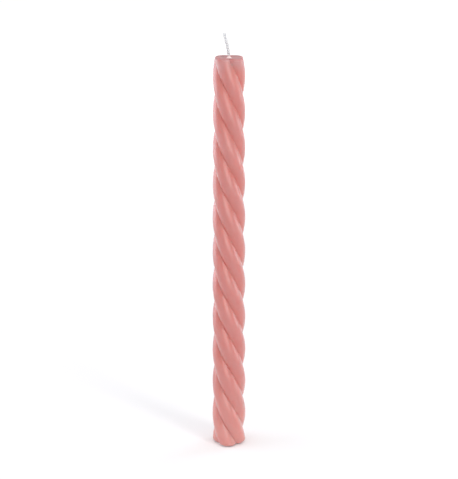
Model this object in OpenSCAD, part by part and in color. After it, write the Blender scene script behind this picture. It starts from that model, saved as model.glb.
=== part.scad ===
// Spiral candle: a tapered wax body with rounded lobes that wind to the left,
// cast round a cotton wick plaited from three strands.
// Millimetres, +Z up, origin at the centre of the foot.

/* [Wax body] */
// Height of the wax from the foot to the rim
body_h = 250; // [150:1:320]
// Width across the ridges at the foot
foot_d = 21.5; // [18:0.1:30]
// Width across the ridges at the rim
rim_d = 19.4; // [16:0.1:28]
// Number of lobes round the body
lobes = 4; // [3:1:6]
// Depth of a groove below the ridges, at the foot
groove_depth = 2.35; // [1.5:0.05:3]
// Radius of a groove's rounded floor, at the foot
groove_round = 0.6; // [0.3:0.05:1.2]
// Rise of a ridge in one full turn
lead = 87.2; // [60:0.2:160]
// Direction of one ridge at the foot, in degrees
foot_angle = -5; // [-45:1:45]
// Rounding of the edge round the foot
foot_round = 2.6; // [0.5:0.1:3.5]
// Rounding of the rim
rim_round = 1.3; // [0.5:0.1:2]
// Flat land between the rim's rounding and the dish, in line with a groove
rim_land = 0.5; // [0.2:0.1:2]
// Depth of the dish that the wax leaves round the wick as it sets
dish_depth = 1.1; // [0.3:0.1:2]

/* [Wick] */
// Height of the wick's tip above the floor of the dish
wick_free = 15.4; // [6:0.1:30]
// Sideways lean of the wick's tip
wick_lean = 3; // [0:0.1:6]
// Width of one cotton strand
strand_d = 0.5; // [0.3:0.05:0.8]
// Gap between neighbouring strands where they cross
strand_gap = 0.04; // [0.02:0.01:0.2]
// Length of wick in which a strand crosses the plait and comes back
plait_pitch = 9; // [8:0.5:20]
// Swing of a strand through the plait for each part of its swing across it
plait_flatness = 0.6; // [0.5:0.05:0.65]
// Clearance between the plait and the channel that it leaves in the wax
channel_gap = 0.05; // [0.02:0.01:0.3]

/* [Hidden] */

// Straight steps along a lobe's arc, a groove's floor and a rounded edge
lobe_steps = 7;
floor_steps = 3;
edge_steps = 4;
// Most degrees that the body turns from one ring of points to the next
turn_step = 10;
// Rings of points in one pitch of the plait, and sides of a strand
plait_steps = 9;
strand_sides = 6;
strands = 3;
// Length by which a cutting shape runs past the face that it cuts
cut_over = 1;

// The section at the foot: round lobes on a circle, joined by round groove floors
ridge_r = foot_d / 2;
floor_r = ridge_r - groove_depth;
half_lobe = 180 / lobes;
floor_centre_r = floor_r + groove_round;
outer_r = ridge_r + groove_round;
lobe_centre_r = (outer_r * outer_r - floor_centre_r * floor_centre_r)
    / (2 * (outer_r - floor_centre_r * cos(half_lobe)));
lobe_r = ridge_r - lobe_centre_r;
// Direction, from a lobe's centre, in which its arc runs into the groove floor
lobe_end = atan2(floor_centre_r * sin(half_lobe), floor_centre_r * cos(half_lobe) - lobe_centre_r);
ring_points = lobes * (lobe_steps + floor_steps);

// The dish: a ball's cap that stops short of the rim's rounding
dish_r = floor_r * rim_d / foot_d - rim_round - rim_land;
dish_ball_r = (dish_r * dish_r + dish_depth * dish_depth) / (2 * dish_depth);
dish_floor_z = body_h - dish_depth;

// The plait: the strands clear one another at every crossing
swing_through = (strand_d + strand_gap) / (sqrt(3) * cos(360 / plait_steps));
swing_across = swing_through / plait_flatness;
channel_d = 2 * (swing_across + strand_d / 2 + channel_gap);
wick_h = dish_floor_z + wick_free;
wick_steps = ceil(wick_h * plait_steps / plait_pitch);

// Size of the section at height z, against the section at the foot
function taper(z) = (foot_d + (rim_d - foot_d) * z / body_h) / foot_d;

// Turn of the section at height z, clockwise on the way up
function turn(z) = foot_angle - 360 * z / lead;

// One lobe and the groove floor after it, drawn in by inset from the finished surface
function lobe_points(size, inset, angle) = [
    for (i = [0 : lobe_steps])
        let (a = lobe_end * (2 * i / lobe_steps - 1))
        polar(lobe_centre_r * size, angle) + polar(lobe_r * size - inset, angle + a),
    for (i = [1 : floor_steps - 1])
        let (a = 180 + half_lobe + (lobe_end - half_lobe) * (1 - 2 * i / floor_steps))
        polar(floor_centre_r * size, angle + half_lobe) + polar(groove_round * size + inset, angle + a)
];

function polar(r, angle) = [r * cos(angle), r * sin(angle)];

function body_ring(z, inset) = [
    for (k = [0 : lobes - 1])
        for (p = lobe_points(taper(z), inset, turn(z) + k * 2 * half_lobe))
            [p.x, p.y, z]
];

// Heights and insets of the rings: rounded foot edge, straight run, rounded rim
run_steps = ceil(360 * (body_h - foot_round - rim_round) / lead / turn_step);
body_levels = [
    for (i = [0 : edge_steps])
        let (a = 90 * i / edge_steps)
        [foot_round * (1 - cos(a)), foot_round * (1 - sin(a))],
    for (i = [1 : run_steps - 1])
        [foot_round + (body_h - foot_round - rim_round) * i / run_steps, 0],
    for (i = [0 : edge_steps])
        let (a = 90 * (1 - i / edge_steps))
        [body_h - rim_round * (1 - cos(a)), rim_round * (1 - sin(a))]
];

// Place of a strand's middle at height z; the free end leans away along -X
function free_part(z) = max(0, (z - dish_floor_z) / wick_free);

function strand_middle(z, angle) =
    let (a = 360 * z / plait_pitch + angle)
    [swing_across * sin(a) - wick_lean * pow(free_part(z), 1.5), swing_through * sin(2 * a)];

function strand_ring(z, angle) = [
    for (i = [0 : strand_sides - 1])
        let (p = strand_middle(z, angle) + polar(strand_d / 2, 360 * i / strand_sides))
        [p.x, p.y, z]
];

// A closed skin over a stack of rings, each end closed by a fan round the middle of its ring
module loft(rings) {
    n = len(rings[0]);
    last = len(rings) - 1;
    low = n * len(rings);
    high = low + 1;
    points = [
        for (ring = rings) each ring,
        middle(rings[0]),
        middle(rings[last])
    ];
    faces = [
        for (i = [0 : last - 1], j = [0 : n - 1])
            let (a = i * n + j, b = i * n + (j + 1) % n)
            each [[a, a + n, b + n], [a, b + n, b]],
        for (j = [0 : n - 1])
            [low, j, (j + 1) % n],
        for (j = [0 : n - 1])
            [high, last * n + (j + 1) % n, last * n + j]
    ];
    polyhedron(points, faces);
}

function middle(ring) = [for (k = [0 : 2]) sum_of(ring, k) / len(ring)];

function sum_of(ring, k, i = 0) = i == len(ring) ? 0 : ring[i][k] + sum_of(ring, k, i + 1);

module wax_body() {
    color("#d58e89")
        difference() {
            loft([for (level = body_levels) body_ring(level[0], level[1])]);
            translate([0, 0, dish_floor_z + dish_ball_r])
                sphere(r = dish_ball_r, $fn = 96);
            translate([0, 0, -cut_over])
                cylinder(d = channel_d, h = body_h + 2 * cut_over, $fn = 48);
        }
}

module wick_strand(number) {
    color("#ebe8e2")
        loft([
            for (i = [0 : wick_steps])
                strand_ring(wick_h * i / wick_steps, 360 * number / strands)
        ]);
}

wax_body();
wick_strand(1);  // wick_strand_1
wick_strand(2);  // wick_strand_2
wick_strand(3);  // wick_strand_3
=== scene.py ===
import math

import bpy
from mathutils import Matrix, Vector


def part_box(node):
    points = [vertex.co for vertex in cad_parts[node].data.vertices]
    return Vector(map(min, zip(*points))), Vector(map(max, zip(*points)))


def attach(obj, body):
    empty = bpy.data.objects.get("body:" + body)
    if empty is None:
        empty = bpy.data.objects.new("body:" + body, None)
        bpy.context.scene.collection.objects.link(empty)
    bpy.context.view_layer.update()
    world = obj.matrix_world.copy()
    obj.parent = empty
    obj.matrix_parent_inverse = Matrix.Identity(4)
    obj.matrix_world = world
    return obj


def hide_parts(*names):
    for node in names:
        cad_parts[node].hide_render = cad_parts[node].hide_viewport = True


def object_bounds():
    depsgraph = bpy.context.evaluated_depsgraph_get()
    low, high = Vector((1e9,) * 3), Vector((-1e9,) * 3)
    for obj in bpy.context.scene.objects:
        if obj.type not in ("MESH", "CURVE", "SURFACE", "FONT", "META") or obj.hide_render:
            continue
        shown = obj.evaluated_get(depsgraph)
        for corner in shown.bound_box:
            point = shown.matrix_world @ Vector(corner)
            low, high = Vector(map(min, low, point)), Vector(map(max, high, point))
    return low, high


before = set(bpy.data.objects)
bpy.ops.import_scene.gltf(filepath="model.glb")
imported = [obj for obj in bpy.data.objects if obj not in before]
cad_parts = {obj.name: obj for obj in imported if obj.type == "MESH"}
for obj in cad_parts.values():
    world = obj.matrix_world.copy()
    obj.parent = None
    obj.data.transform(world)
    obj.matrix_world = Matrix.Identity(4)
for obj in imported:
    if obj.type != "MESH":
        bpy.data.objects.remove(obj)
cad_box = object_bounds()

# The viewpoint: a camera in front of the candle and a little higher than its rim.
# It looks down on the foot through a long lens, so that the candle tapers in the picture.
MM = 0.001
IMAGE_HEIGHT = 479
SENSOR = 36.0
VIEW_DISTANCE = 726.7 * MM
VIEW_HEIGHT = 356.5 * MM
VIEW_DOWN = math.radians(16.82)
FOCAL_PIXELS = 1225.0

bpy.ops.object.select_all(action="DESELECT")
bpy.ops.object.camera_add(
    location=(0.0, -VIEW_DISTANCE, VIEW_HEIGHT),
    rotation=(math.pi / 2 - VIEW_DOWN, 0.0, 0.0),
)
camera = bpy.context.object
camera.name = "viewpoint"
camera.data.sensor_width = SENSOR
camera.data.lens = FOCAL_PIXELS * SENSOR / IMAGE_HEIGHT
bpy.context.scene.camera = camera
bpy.context.scene.view_settings.view_transform = "Standard"


# The wick: three strands of bleached cotton, each of four twisted yarns, plaited flat and
# primed with wax. It hangs in the mould before the wax is poured and runs the whole height
# of the candle. Its free end leans to one side, and its foot is cut flush with the wax.
RIM_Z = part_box("wax_body")[1].z / MM
TIP_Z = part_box("wick_strand_1")[1].z / MM
# Sizes of the wick, and of the wax body below, are in millimetres
DISH_DEPTH = 1.1
DISH_FLOOR_Z = RIM_Z - DISH_DEPTH
WICK_LEAN = 3.0
LEAN_CURVE = 1.5
STRANDS = 3
PLAIT_PITCH = 9.0
SWING_ACROSS = 0.678
SWING_THROUGH = 0.407
YARNS = 4
YARN_R = 0.125
YARN_OUT = 0.16
YARN_PITCH = 3.0
YARN_CUT_STEP = 0.18
YARN_SPLAY = 0.12
SPLAY_LENGTH = 1.6
HIDDEN_STEP = 0.5
FREE_STEP = 0.15
FLUSH = 0.1
MERGE = 0.001
FIBRE_SIZE = 0.4
FIBRE_RELIEF = 0.04
YARN_GLOW = 0.3
# Wax of the body that clings to the lowest stretch of the free wick
STAIN_HEIGHT = 2.6
COTTON = "#E4E5E7"
COTTON_SHADE = "#CFD0D3"
COTTON_STAIN = "#F3DEDB"


def linear(code):
    """An sRGB hex colour as linear RGBA."""
    parts = [int(code[i:i + 2], 16) / 255 for i in (1, 3, 5)]
    return [p / 12.92 if p <= 0.04045 else ((p + 0.055) / 1.055) ** 2.4 for p in parts] + [1.0]


def add_node(owner, kind, inputs=None, **settings):
    """A shader node with its settings; each input is a value or the socket that feeds it."""
    tree = owner.node_tree
    node = tree.nodes.new("ShaderNode" + kind)
    for name, value in settings.items():
        setattr(node, name, value)
    for name, value in (inputs or {}).items():
        if isinstance(value, bpy.types.NodeSocket):
            tree.links.new(value, node.inputs[name])
        else:
            node.inputs[name].default_value = value
    return node


def new_material(name):
    """A node material with nothing in it yet."""
    material = bpy.data.materials.new(name)
    material.use_nodes = True
    material.node_tree.nodes.clear()
    return material


def yarn_point(z, strand_turn, yarn_turn):
    """Middle of one yarn at height z, in millimetres."""
    plait = 2 * math.pi * z / PLAIT_PITCH + strand_turn
    twist = 2 * math.pi * z / YARN_PITCH + yarn_turn
    free = max(0.0, (z - DISH_FLOOR_Z) / (TIP_Z - DISH_FLOOR_Z))
    splay = max(0.0, (z - TIP_Z + SPLAY_LENGTH) / SPLAY_LENGTH) ** 2 * YARN_SPLAY
    out = YARN_OUT + splay
    lean = WICK_LEAN * free ** LEAN_CURVE
    x = SWING_ACROSS * math.sin(plait) - lean + out * math.cos(twist)
    y = SWING_THROUGH * math.sin(2 * plait) + out * math.sin(twist)
    return x * MM, y * MM, z * MM, 1.0


def yarn_heights(tip):
    """Heights of a yarn's points: wide apart inside the wax, close together on the free end."""
    hidden = round((DISH_FLOOR_Z - DISH_DEPTH) / HIDDEN_STEP)
    free_from = hidden * HIDDEN_STEP
    free = round((tip - free_from) / FREE_STEP)
    low = [max(FLUSH, i * HIDDEN_STEP) for i in range(hidden)]
    return low + [free_from + (tip - free_from) * i / free for i in range(free + 1)]


# Bleached cotton yarn primed with wax: off-white, matt in the valleys between the yarns,
# with a faint waxy gleam along them and a blush of the candle's dye where it leaves the wax.
cotton = new_material("waxed_cotton_yarn")
place = add_node(cotton, "TexCoord").outputs["Object"]
height = add_node(cotton, "SeparateXYZ", {"Vector": place}).outputs["Z"]
stain = add_node(cotton, "MapRange", {
    "Value": height,
    "From Min": DISH_FLOOR_Z * MM,
    "From Max": (DISH_FLOOR_Z + STAIN_HEIGHT) * MM,
    "To Min": 1.0,
    "To Max": 0.0,
}, interpolation_type="SMOOTHSTEP").outputs["Result"]
# Clumps of fibres, drawn coarser than real fibres so that they show
fibre = add_node(cotton, "TexNoise", {
    "Vector": place, "Scale": 1 / (FIBRE_SIZE * MM), "Detail": 3.0,
}).outputs["Fac"]
shade = add_node(cotton, "MapRange", {
    "Value": fibre, "From Min": 0.35, "From Max": 0.75,
}).outputs["Result"]
clean = add_node(cotton, "MixRGB", {
    "Fac": shade, "Color1": linear(COTTON), "Color2": linear(COTTON_SHADE),
}).outputs["Color"]
colour = add_node(cotton, "MixRGB", {
    "Fac": stain, "Color1": clean, "Color2": linear(COTTON_STAIN),
}).outputs["Color"]
bump = add_node(cotton, "Bump", {
    "Height": fibre, "Strength": 0.5, "Distance": FIBRE_RELIEF * MM,
}).outputs["Normal"]
surface = add_node(cotton, "BsdfPrincipled", {
    "Base Color": colour, "Normal": bump, "Roughness": 0.62, "IOR": 1.45,
    "Sheen Weight": 0.25, "Sheen Roughness": 0.5,
    "Subsurface Weight": 0.2,
    "Subsurface Radius": (1.0, 0.9, 0.8), "Subsurface Scale": YARN_GLOW * MM,
})
add_node(cotton, "OutputMaterial", {"Surface": surface.outputs["BSDF"]})

for number in range(1, STRANDS + 1):
    strand_turn = 2 * math.pi * number / STRANDS
    curve = bpy.data.curves.new(f"wick_cotton_{number}", "CURVE")
    curve.dimensions = "3D"
    curve.bevel_depth = YARN_R * MM
    curve.bevel_resolution = 1
    curve.use_fill_caps = True
    for yarn in range(YARNS):
        # The cut leaves each yarn a little longer or shorter than its neighbour
        tip = TIP_Z - YARN_R - YARN_CUT_STEP * ((yarn * 2 + number) % YARNS)
        yarn_turn = 2 * math.pi * yarn / YARNS
        points = [yarn_point(z, strand_turn, yarn_turn) for z in yarn_heights(tip)]
        spline = curve.splines.new("POLY")
        spline.points.add(len(points) - 1)
        spline.points.foreach_set("co", [c for p in points for c in p])
        spline.use_smooth = True
    strand = bpy.data.objects.new(curve.name, curve)
    bpy.context.collection.objects.link(strand)
    bpy.ops.object.select_all(action="DESELECT")
    strand.select_set(True)
    bpy.context.view_layer.objects.active = strand
    bpy.ops.object.convert(target="MESH")
    # The cut ends are joined to the yarns that they close
    bpy.ops.object.mode_set(mode="EDIT")
    bpy.ops.mesh.select_all(action="SELECT")
    bpy.ops.mesh.remove_doubles(threshold=MERGE * MM)
    bpy.ops.mesh.normals_make_consistent(inside=False)
    bpy.ops.object.mode_set(mode="OBJECT")
    strand.data.materials.append(cotton)
    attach(strand, "root")
    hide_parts(f"wick_strand_{number}")


# The wax body: dyed candle wax cast round the wick in a tapered mould with four lobes that
# wind to the left. The rim and the foot are rounded, the wax has sunk into a shallow dish
# as it set, and it climbs a little up the wick.
FOOT_D = 21.5
RIM_D = 19.4
LOBES = 4
GROOVE_DEPTH = 2.35
GROOVE_ROUND = 0.6
LEAD = 87.2
FOOT_ANGLE = math.radians(-5)
FOOT_ROUND = 2.6
RIM_ROUND = 1.3
# Two rings of the flat land on the rim, inwards from the rounding
RIM_LANDS = (0.5, 0.55)
FOOT_LAND = 0.4
LOBE_STEPS = 30
FLOOR_STEPS = 10
EDGE_STEPS = 8
DISH_STEPS = 18
RING_STEP = 0.9
CHANNEL_R = 0.978
FOOT_CIRCLE_R = 4.5
DISH_R = 5.65
DISH_CURVE = 1.25
# The wax that climbs the wick, and the share of its lip that falls straight into the channel
CLIMB_H = 1.9
CLIMB_SPREAD = 0.6
LIP_R = 0.55
LIP_DEPTH = 0.6
LIP_STRAIGHT = 0.6
# How near to a height or a radius a point counts as being there
TOLERANCE = 0.05
# Edges that turn less than this are shaded smooth
SMOOTH_BELOW = math.radians(40)
# Where each finish of the wax, its painted shade and its painted light begin and end
GROOVE_LIMIT = 1.1
FILM_R = 1.9
FILM_FADE = 0.6
FOOT_DULL_AND_SHADED = 0.6
RIM_DULL_AND_SHADED = 0.3
RIM_FADE = 1.7
PALE_FOOT = 80.0
PALE_RIM = 10.0
CLOUD_SIZE = 16.0
MOTTLE_SIZE = 2.5
MOTTLE_RELIEF = 0.02
GLOW_DEPTH = 5.0
SATIN = (0.19, 0.23)
END_DULLNESS = 0.3
SKIN = 0.85
WAX = "#CC7870"
# Painted shade for the grooves
WAX_GROOVE_SHADE = "#D36B5D"
WAX_BLOOM_AND_FOOT_LIGHT = "#D98F86"
# Random bloom, and painted light towards the foot
WAX_FILM = "#F6E0DD"
WAX_RIM = "#C88B88"
# Painted shade on the ends: the dish, the rim's rounding and the foot
WAX_END_SHADE = "#A66C6C"

half_lobe = math.pi / LOBES
ridge_r = FOOT_D / 2
floor_r = ridge_r - GROOVE_DEPTH
floor_centre = floor_r + GROOVE_ROUND
outer_r = ridge_r + GROOVE_ROUND
floor_x = floor_centre * math.cos(half_lobe)
floor_y = floor_centre * math.sin(half_lobe)
lobe_centre = (outer_r ** 2 - floor_centre ** 2) / (2 * (outer_r - floor_x))
lobe_r = ridge_r - lobe_centre
lobe_end = math.atan2(floor_y, floor_x - lobe_centre)


def taper(z):
    """Size of the section at height z against the foot's."""
    return 1 + (RIM_D / FOOT_D - 1) * z / RIM_Z


def winding(z):
    """Turn of the section at height z, to the left on the way up."""
    return FOOT_ANGLE - 2 * math.pi * z / LEAD


def lobed_outline(z):
    """Points of the section at height z: round lobes with round groove floors between them."""
    points = []
    for lobe in range(LOBES):
        turn = winding(z) + lobe * 2 * half_lobe
        spread = lobe_end - half_lobe
        arcs = [
            (lobe_centre, turn, lobe_r, turn + lobe_end * (2 * i / LOBE_STEPS - 1))
            for i in range(LOBE_STEPS + 1)
        ]
        arcs += [
            (floor_centre, turn + half_lobe, GROOVE_ROUND,
             turn + half_lobe + math.pi + spread * (1 - 2 * i / FLOOR_STEPS))
            for i in range(1, FLOOR_STEPS)
        ]
        for out, way, radius, angle in arcs:
            x = out * math.cos(way) + radius * math.cos(angle)
            y = out * math.sin(way) + radius * math.sin(angle)
            points.append((x * taper(z) * MM, y * taper(z) * MM, z * MM))
    return points


def select_verts(obj, test):
    """Selects the vertices that pass the test, and leaves the object in edit mode."""
    bpy.ops.object.mode_set(mode="EDIT")
    bpy.ops.mesh.select_mode(type="VERT")
    bpy.ops.mesh.select_all(action="DESELECT")
    bpy.ops.object.mode_set(mode="OBJECT")
    for vertex in obj.data.vertices:
        vertex.select = test(vertex.co)
    bpy.ops.object.mode_set(mode="EDIT")


def carry_on(radius, steps):
    """Extrudes the selected end face by steps of (radius, rise), winding as it goes."""
    for next_radius, rise in steps:
        size = next_radius / radius
        bpy.ops.mesh.extrude_region_move(TRANSFORM_OT_translate={"value": (0.0, 0.0, rise * MM)})
        bpy.ops.transform.resize(value=(size, size, 1.0), center_override=(0.0, 0.0, 0.0))
        # Without a window this operator turns clockwise, which is to the left on the way up
        turn = 2 * math.pi * rise / LEAD
        bpy.ops.transform.rotate(value=turn, orient_axis="Z", center_override=(0.0, 0.0, 0.0))
        radius = next_radius
    return radius


def rounded_edge(start, radius, way):
    """Steps that take an end face round a quarter circle, up or down."""
    turns = [math.pi / 2 * i / EDGE_STEPS for i in range(EDGE_STEPS + 1)]
    return [
        (start - radius * (1 - math.cos(b)), way * radius * (math.sin(b) - math.sin(a)))
        for a, b in zip(turns, turns[1:])
    ]


def make_round(obj, radius):
    """Draws the selected loop to a circle about the wick."""
    bpy.ops.transform.tosphere(value=1.0)
    bpy.ops.object.mode_set(mode="OBJECT")
    now = next(v.co.xy.length for v in obj.data.vertices if v.select)
    bpy.ops.object.mode_set(mode="EDIT")
    size = radius * MM / now
    bpy.ops.transform.resize(value=(size, size, 1.0), center_override=(0.0, 0.0, 0.0))
    return radius


def dish_height(r):
    """Height of the dish against the rim at distance r from the wick."""
    sunk = DISH_DEPTH * max(0.0, 1 - (r / DISH_R) ** 2) ** DISH_CURVE
    return CLIMB_H * math.exp((LIP_R - r) / CLIMB_SPREAD) - sunk


run_low = FOOT_ROUND
run_high = RIM_Z - RIM_ROUND
rings = round((run_high - run_low) / RING_STEP)
outline = lobed_outline(run_low)
bpy.ops.object.select_all(action="DESELECT")
bpy.ops.mesh.primitive_circle_add(vertices=len(outline), radius=ridge_r * MM)
wax_body = bpy.context.object
wax_body.name = "candle_wax"
for vertex, point in zip(wax_body.data.vertices, outline):
    vertex.co = point

# Winds the outline up the mould, then draws it in towards the rim
wind = wax_body.modifiers.new("wind", "SCREW")
wind.axis = "Z"
wind.angle = winding(run_high) - winding(run_low)
wind.screw_offset = (run_high - run_low) * MM
wind.steps = rings
wind.render_steps = rings
bpy.ops.object.modifier_apply(modifier=wind.name)
for vertex in wax_body.data.vertices:
    draw = taper(vertex.co.z / MM) / taper(run_low)
    vertex.co.x *= draw
    vertex.co.y *= draw

# Closes both ends
select_verts(wax_body, lambda co: co.z > (run_high - TOLERANCE) * MM)
bpy.ops.mesh.edge_face_add()
select_verts(wax_body, lambda co: co.z < (run_low + TOLERANCE) * MM)
bpy.ops.mesh.edge_face_add()
bpy.ops.mesh.select_all(action="SELECT")
bpy.ops.mesh.normals_make_consistent(inside=False)

# Rounds the rim, leaves a flat land, sinks the dish and lifts the wax to a lip round the wick
select_verts(wax_body, lambda co: co.z > (run_high - TOLERANCE) * MM)
reach = ridge_r * taper(run_high)
reach = carry_on(reach, rounded_edge(reach, RIM_ROUND, 1))
carry_on(reach, [(reach - land, 0.0) for land in RIM_LANDS])
reach = make_round(wax_body, DISH_R)
shares = [1 - i / DISH_STEPS for i in range(DISH_STEPS + 1)]
radii = [LIP_R * (DISH_R / LIP_R) ** share for share in shares]
dish_steps = [(b, dish_height(b) - dish_height(a)) for a, b in zip(radii, radii[1:])]
reach = carry_on(reach, dish_steps)
channel_top = DISH_FLOOR_Z - LIP_DEPTH
lip_fall = channel_top - RIM_Z - dish_height(LIP_R)
carry_on(reach, [
    (reach, LIP_STRAIGHT * lip_fall),
    (CHANNEL_R, (1 - LIP_STRAIGHT) * lip_fall),
])

# Rounds the foot and leaves it flat
select_verts(wax_body, lambda co: co.z < (run_low + TOLERANCE) * MM)
reach = ridge_r * taper(run_low)
reach = carry_on(reach, rounded_edge(reach, FOOT_ROUND, -1))
carry_on(reach, [(reach - FOOT_LAND, 0.0)])
reach = make_round(wax_body, FOOT_CIRCLE_R)
carry_on(reach, [(CHANNEL_R, 0.0)])

# Opens the wick's channel from end to end
select_verts(wax_body, lambda co: co.xy.length < (CHANNEL_R + TOLERANCE) * MM and (
    co.z < TOLERANCE * MM or abs(co.z - channel_top * MM) < TOLERANCE * MM))
bpy.ops.mesh.bridge_edge_loops()
bpy.ops.object.mode_set(mode="OBJECT")
bpy.ops.object.shade_smooth_by_angle(angle=SMOOTH_BELOW)

# Three masks follow the shape: the grooves, by their depth below the ridges, which get painted
# shade, the thin wax that climbs the wick, by its distance from it, and the ends, which no mould
# wall has polished, duller and with painted shade
grooves = wax_body.data.attributes.new("groove", "FLOAT", "POINT")
films = wax_body.data.attributes.new("film", "FLOAT", "POINT")
ends = wax_body.data.attributes.new("end", "FLOAT", "POINT")
for vertex in wax_body.data.vertices:
    z = vertex.co.z / MM
    r = vertex.co.xy.length / MM
    size = taper(z)
    below = (ridge_r * size - r) / (GROOVE_DEPTH * size)
    if below < GROOVE_LIMIT and z < RIM_Z:
        grooves.data[vertex.index].value = min(1.0, max(0.0, below))
    in_dish = r < DISH_R and z > channel_top
    dull_and_shaded = (RIM_FADE - (RIM_Z - z)) / (RIM_FADE - RIM_DULL_AND_SHADED)
    unpolished_and_shaded = in_dish or z < FOOT_DULL_AND_SHADED
    ends.data[vertex.index].value = 1.0 if unpolished_and_shaded else min(1.0, max(0.0, dull_and_shaded))
    if z > channel_top:
        films.data[vertex.index].value = min(1.0, max(0.0, (FILM_R - r) / FILM_FADE))

# Through-dyed candle wax, moulded: a satin, translucent salmon pink. Light that enters it comes
# out again a few millimetres on, red furthest, so shaded flanks stay warm and lit ones gleam pale.
wax = new_material("dyed_candle_wax")
place = add_node(wax, "TexCoord").outputs["Object"]
groove = add_node(wax, "Attribute", attribute_name="groove").outputs["Fac"]
film = add_node(wax, "Attribute", attribute_name="film").outputs["Fac"]
end = add_node(wax, "Attribute", attribute_name="end").outputs["Fac"]
# Clouds of dye, and fine mottling where the wax has crystallised
cloud = add_node(wax, "TexNoise", {
    "Vector": place, "Scale": 1 / (CLOUD_SIZE * MM), "Detail": 2.0,
}).outputs["Fac"]
mottle = add_node(wax, "TexNoise", {
    "Vector": place, "Scale": 1 / (MOTTLE_SIZE * MM), "Detail": 4.0,
}).outputs["Fac"]
# Painted shade: the grooves are coloured deeper and warmer with their depth below the ridges
groove_shade = add_node(wax, "MapRange", {
    "Value": groove, "From Min": 0.05, "From Max": 1.1,
}, interpolation_type="SMOOTHSTEP").outputs["Result"]
bloom_and_foot_light = add_node(wax, "Math", {0: cloud, 1: mottle}, operation="MULTIPLY").outputs["Value"]
bloom_and_foot_light = add_node(wax, "MapRange", {
    "Value": bloom_and_foot_light, "From Min": 0.15, "From Max": 0.42, "To Max": 0.2,
}).outputs["Result"]
# Painted light: the wax is paler towards the foot, for the light thrown up from the floor
height = add_node(wax, "SeparateXYZ", {"Vector": place}).outputs["Z"]
pale = add_node(wax, "MapRange", {
    "Value": height, "From Min": PALE_FOOT * MM, "From Max": 0.0,
}).outputs["Result"]
pale = add_node(wax, "Math", {0: pale, 1: 2.0}, operation="POWER").outputs["Value"]
bloom_and_foot_light = add_node(wax, "Math", {0: pale, 1: bloom_and_foot_light}, operation="ADD").outputs["Value"]
# The wax is a shade greyer towards the rim
grey = add_node(wax, "MapRange", {
    "Value": height, "From Min": (RIM_Z - PALE_RIM) * MM, "From Max": RIM_Z * MM,
}, interpolation_type="SMOOTHSTEP").outputs["Result"]
# Each colour covers its share of those before it; the groove and end colours are painted shade,
# and the bloom colour carries painted light at the foot
covers = (
    (groove_shade, WAX_GROOVE_SHADE),
    (bloom_and_foot_light, WAX_BLOOM_AND_FOOT_LIGHT),
    (grey, WAX_RIM),
    (end, WAX_END_SHADE),
    (film, WAX_FILM),
)
colour = linear(WAX)
for share, cover in covers:
    colour = add_node(wax, "MixRGB", {
        "Fac": share, "Color1": colour, "Color2": linear(cover),
    }).outputs["Color"]
# The film round the wick is too thin to glow from inside
glow = add_node(wax, "Math", {0: 1.0, 1: film}, operation="SUBTRACT").outputs["Value"]
roughness = add_node(wax, "MapRange", {
    "Value": mottle, "From Min": 0.3, "From Max": 0.7, "To Min": SATIN[0], "To Max": SATIN[1],
}).outputs["Result"]
roughness = add_node(wax, "Math", {
    0: end, 1: END_DULLNESS, 2: roughness,
}, operation="MULTIPLY_ADD").outputs["Value"]
# The mould wall leaves a clear skin on the sides, pale where it is seen at a slant
skin = add_node(wax, "MapRange", {
    "Value": end, "To Min": SKIN, "To Max": 0.0,
}).outputs["Result"]
bump = add_node(wax, "Bump", {
    "Height": mottle, "Strength": 0.1, "Distance": MOTTLE_RELIEF * MM,
}).outputs["Normal"]
surface = add_node(wax, "BsdfPrincipled", {
    "Base Color": colour, "Roughness": roughness, "Normal": bump,
    "IOR": 1.5, "Specular IOR Level": 0.85,
    "Coat Weight": skin, "Coat IOR": 1.5, "Coat Roughness": 0.35,
    "Subsurface Weight": glow,
    "Subsurface Radius": (1.0, 0.4, 0.3), "Subsurface Scale": GLOW_DEPTH * MM,
})
add_node(wax, "OutputMaterial", {"Surface": surface.outputs["BSDF"]})
wax_body.data.materials.append(wax)
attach(wax_body, "root")
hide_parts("wax_body")


# The studio: a pale floor of matt paper in a white room, with soft boxes all round the candle.
# The small bright key box, high in front on the right, draws the streaks on the lobes.
FLOOR_SIZE = 14.0
FLOOR = "#F0F0F0"
# The soft boxes light the paper near the candle, so it needs less lift there than far behind
NEAR_FLOOR = 0.3
FAR_FLOOR = 1.5
NEAR_LIFT = 0.1
FAR_LIFT = 0.62
ROOM_LIGHT = 0.45
# Degrees round the candle from the front to the right, then distance, height, width and
# tallness in metres, brightness and colour
SOFT_BOXES = {
    "key_box": (45, 1.0, 1.00, 0.30, 0.30, 14.30, "#FFFFFF"),
    "front_box": (25, 1.3, 0.36, 1.00, 0.60, 1.45, "#FFF3F0"),
    "low_right_box": (95, 1.2, 0.15, 0.60, 0.30, 1.50, "#EFF8FF"),
    "back_right_box": (125, 1.2, 1.10, 0.80, 0.80, 2.50, "#F0F4FF"),
    "left_box": (-90, 1.2, 0.70, 1.00, 1.40, 1.05, "#F6F3FF"),
    "back_left_box": (-120, 1.2, 0.33, 1.70, 0.62, 1.05, "#E7F0FF"),
    "top_box": (-60, 0.2, 1.50, 1.20, 1.20, 1.50, "#FFFFFF"),
}


def seen_plainly(owner):
    """1 where the camera, a reflection or a view through glass sees the surface, else 0."""
    rays = add_node(owner, "LightPath").outputs
    seen = add_node(owner, "Math", {
        0: rays["Is Camera Ray"], 1: rays["Is Glossy Ray"],
    }, operation="MAXIMUM").outputs["Value"]
    return add_node(owner, "Math", {
        0: seen, 1: rays["Is Transmission Ray"],
    }, operation="MAXIMUM").outputs["Value"]


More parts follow.
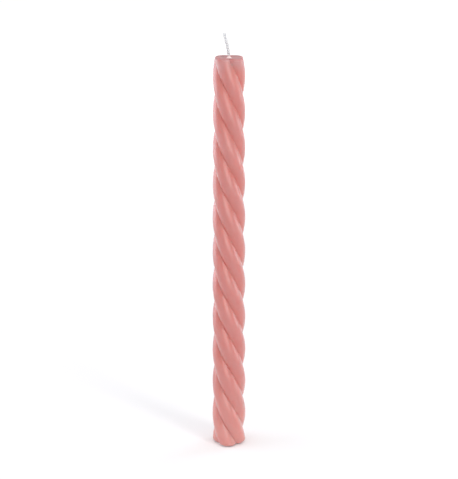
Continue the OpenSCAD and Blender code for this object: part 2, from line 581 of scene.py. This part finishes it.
bpy.ops.object.select_all(action="DESELECT")
bpy.ops.mesh.primitive_plane_add(size=FLOOR_SIZE)
floor = bpy.context.object
floor.name = "paper_floor"
# Matt paper: without gloss and even, lifted to white for the eye but still able to show a shadow
paper = new_material("matt_white_paper")
place = add_node(paper, "TexCoord").outputs["Object"]
away = add_node(paper, "VectorMath", {0: place}, operation="LENGTH").outputs["Value"]
lift = add_node(paper, "MapRange", {
    "Value": away, "From Min": NEAR_FLOOR, "From Max": FAR_FLOOR,
    "To Min": NEAR_LIFT, "To Max": FAR_LIFT,
}, interpolation_type="SMOOTHSTEP").outputs["Result"]
lift = add_node(paper, "Math", {
    0: seen_plainly(paper), 1: lift,
}, operation="MULTIPLY").outputs["Value"]
surface = add_node(paper, "BsdfPrincipled", {
    "Base Color": linear(FLOOR), "Roughness": 0.9, "Specular IOR Level": 0.0,
    "Emission Color": (1.0, 1.0, 1.0, 1.0), "Emission Strength": lift,
})
add_node(paper, "OutputMaterial", {"Surface": surface.outputs["BSDF"]})
floor.data.materials.append(paper)

room = bpy.data.worlds.new("white_room")
room.use_nodes = True
room.node_tree.nodes.clear()
bpy.context.scene.world = room
strength = add_node(room, "MapRange", {
    "Value": seen_plainly(room), "To Min": ROOM_LIGHT, "To Max": 1.0,
}).outputs["Result"]
light = add_node(room, "Background", {"Color": (1.0, 1.0, 1.0, 1.0), "Strength": strength})
add_node(room, "OutputWorld", {"Surface": light.outputs["Background"]})

middle = (cad_box[0] + cad_box[1]) / 2
for name, (turn, distance, height, width, tall, brightness, tint) in SOFT_BOXES.items():
    angle = math.radians(turn)
    bpy.ops.object.select_all(action="DESELECT")
    bpy.ops.object.light_add(
        type="AREA", location=(distance * math.sin(angle), -distance * math.cos(angle), height),
    )
    box = bpy.context.object
    box.name = name
    box.data.shape = "RECTANGLE"
    box.data.size = width
    box.data.size_y = tall
    box.data.energy = brightness * math.pi * width * tall
    box.data.color = linear(tint)[:3]
    box.rotation_euler = (middle - box.location).to_track_quat("-Z", "Y").to_euler()
